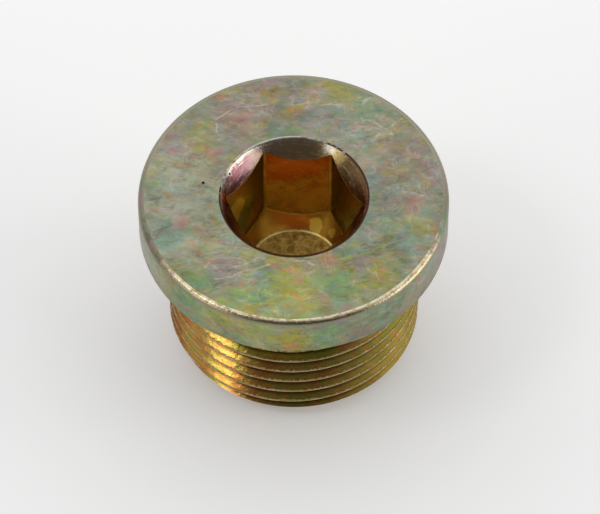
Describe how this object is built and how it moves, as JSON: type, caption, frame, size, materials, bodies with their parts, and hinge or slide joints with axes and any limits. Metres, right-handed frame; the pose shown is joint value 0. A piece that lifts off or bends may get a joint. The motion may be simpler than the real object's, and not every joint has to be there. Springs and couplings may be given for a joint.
{
  "type": "screw plug",
  "caption": "Hexagon-socket screw plug with a flat round collar over a short threaded stud, in yellow-chromated zinc-plated steel.",
  "frame": {"origin": "centre of the flat end face of the threaded stud, the lowest point of the plug as it stands with its collar up", "axes": "+Z along the plug's axis from the threaded end towards the collar and its socket, +Y square to one flat of the hexagon socket, +X towards one of its corners"},
  "size_m": [0.0266, 0.0266, 0.018],
  "materials": {
    "yellow_zinc_steel": "yellow-chromated zinc plating, satin and faintly iridescent on the collar, golden in the socket and the thread"
  },
  "bodies": {
    "root": {"plug_body": "yellow_zinc_steel"}
  },
  "joints": []
}
